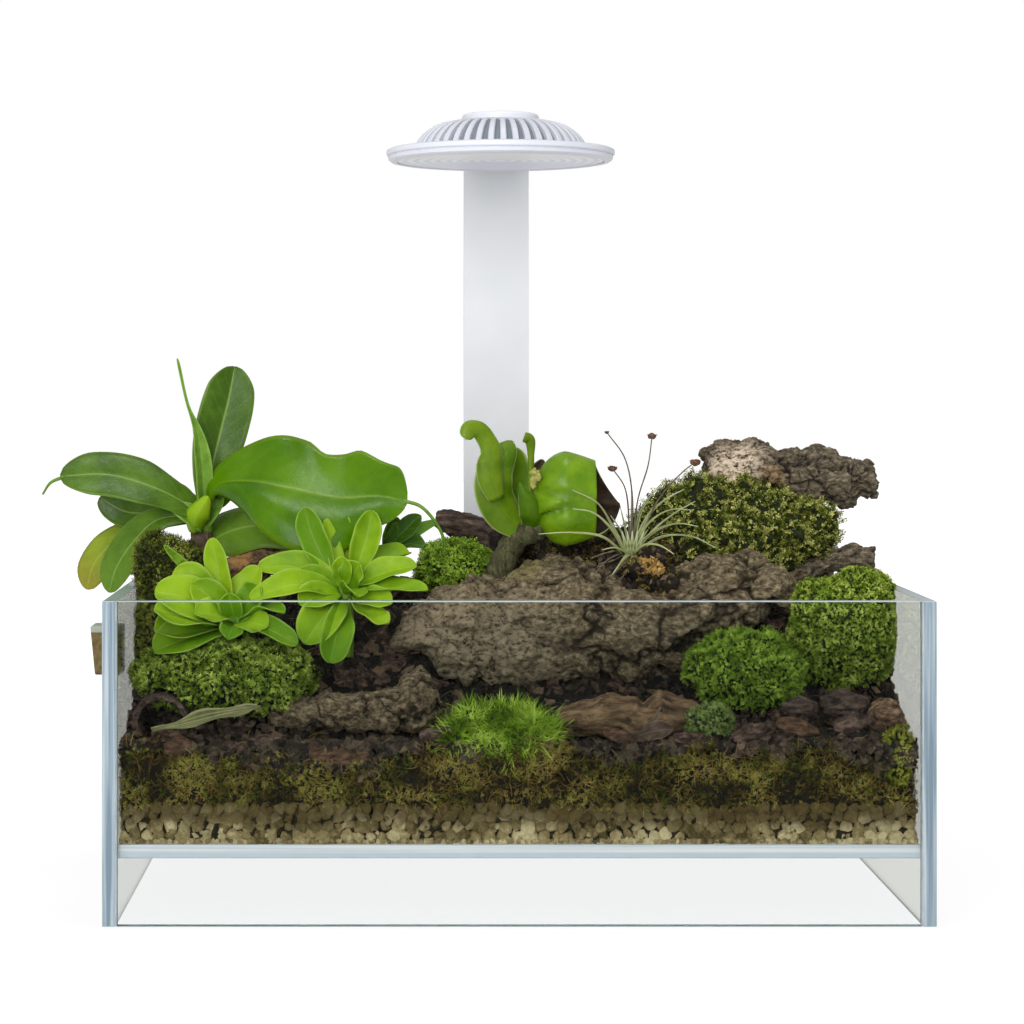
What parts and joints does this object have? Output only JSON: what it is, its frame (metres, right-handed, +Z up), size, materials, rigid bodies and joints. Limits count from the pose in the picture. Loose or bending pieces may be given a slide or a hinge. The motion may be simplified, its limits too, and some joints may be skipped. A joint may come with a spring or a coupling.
{
  "type": "glass plant terrarium",
  "caption": "Rimless planted glass tank on a clear skirt, with layered ground, bark, moss and leafy plants, and a round slotted lamp on a flat post behind it.",
  "frame": {"origin": "middle of the bounding box, on the plane of the walls' bottom edges", "axes": "+X along the long walls to the right, +Y from the front wall towards the lamp's post, +Z up"},
  "size_m": [0.3346, 0.174, 0.3034],
  "materials": {
    "tank_glass": "clear, faint blue-green at the cut edges",
    "side_wood": "olive-brown, dull",
    "lamp_metal": "satin",
    "lamp_white": "satin white",
    "lamp_lens": "frosted, ribbed",
    "led_board": "matte white",
    "dark_plastic": "matte black",
    "pitcher_leaf": "waxy leaf, glossy",
    "pouch_leaf": "fleshy leaf, satin",
    "rosette_leaf": "soft leaf, satin",
    "pale_leaf": "dull, silvery scales",
    "dark_leaf": "satin leaf",
    "dry_leaf": "dry, dull",
    "dead_leaf": "dry, dull",
    "dark_wood": "wet and dark",
    "rough_bark": "very rough, dull",
    "cork_bark": "corky, dull",
    "root_wood": "dull brown",
    "cushion_moss": "mossy",
    "dark_moss": "mossy",
    "bright_moss": "mossy",
    "grassy_moss": "fine grassy blades",
    "feathery_moss": "feathery",
    "pale_moss": "fine and pale",
    "yellow_moss": "mossy",
    "orange_lichen": "crinkled",
    "dark_soil": "crumbly, damp",
    "moss_peat": "fibrous",
    "gravel": "small dull pebbles"
  },
  "bodies": {
    "root": {"glass_front": "tank_glass", "glass_back": "tank_glass", "glass_left": "tank_glass", "glass_right": "tank_glass", "glass_floor": "tank_glass", "side_block": "side_wood", "lamp_post": "lamp_metal", "lamp_clamp": "lamp_metal", "lamp_arm": "lamp_metal", "lamp_ring": "lamp_white", "lamp_heat_sink": "lamp_white", "lamp_cap": "lamp_white", "lamp_lens": "lamp_lens", "lamp_led_board": "led_board", "power_inlet": "dark_plastic", "pitcher_plant": "pitcher_leaf", "pouch_plant": "pouch_leaf", "rosette_right": "rosette_leaf", "rosette_left": "rosette_leaf", "thin_leaved_plant": "pale_leaf", "creeper": "dark_leaf", "dry_leaf": "dry_leaf", "dead_leaf": "dead_leaf", "forked_twig": "dark_wood", "log_middle": "rough_bark", "log_left": "rough_bark", "cork_bark_top_right": "cork_bark", "root_front_right": "root_wood", "branch_right": "rough_bark", "wood_stub_back": "dark_wood", "bark_back_left": "root_wood", "bark_curl_left": "dark_wood", "bark_chip_1": "root_wood", "bark_chip_2": "root_wood", "bark_chip_3": "root_wood", "bark_chip_4": "root_wood", "bark_chip_5": "root_wood", "moss_mound_front_left": "cushion_moss", "moss_stump_back_left": "dark_moss", "moss_cushion_back": "bright_moss", "moss_tuft_front": "grassy_moss", "moss_dome_front_right": "bright_moss", "moss_block_right": "cushion_moss", "moss_feathery_top_right": "feathery_moss", "moss_clump_pale": "pale_moss", "moss_clump_corner": "yellow_moss", "lichen_patch": "orange_lichen", "soil": "dark_soil", "moss_peat": "moss_peat", "gravel": "gravel"}
  },
  "joints": []
}
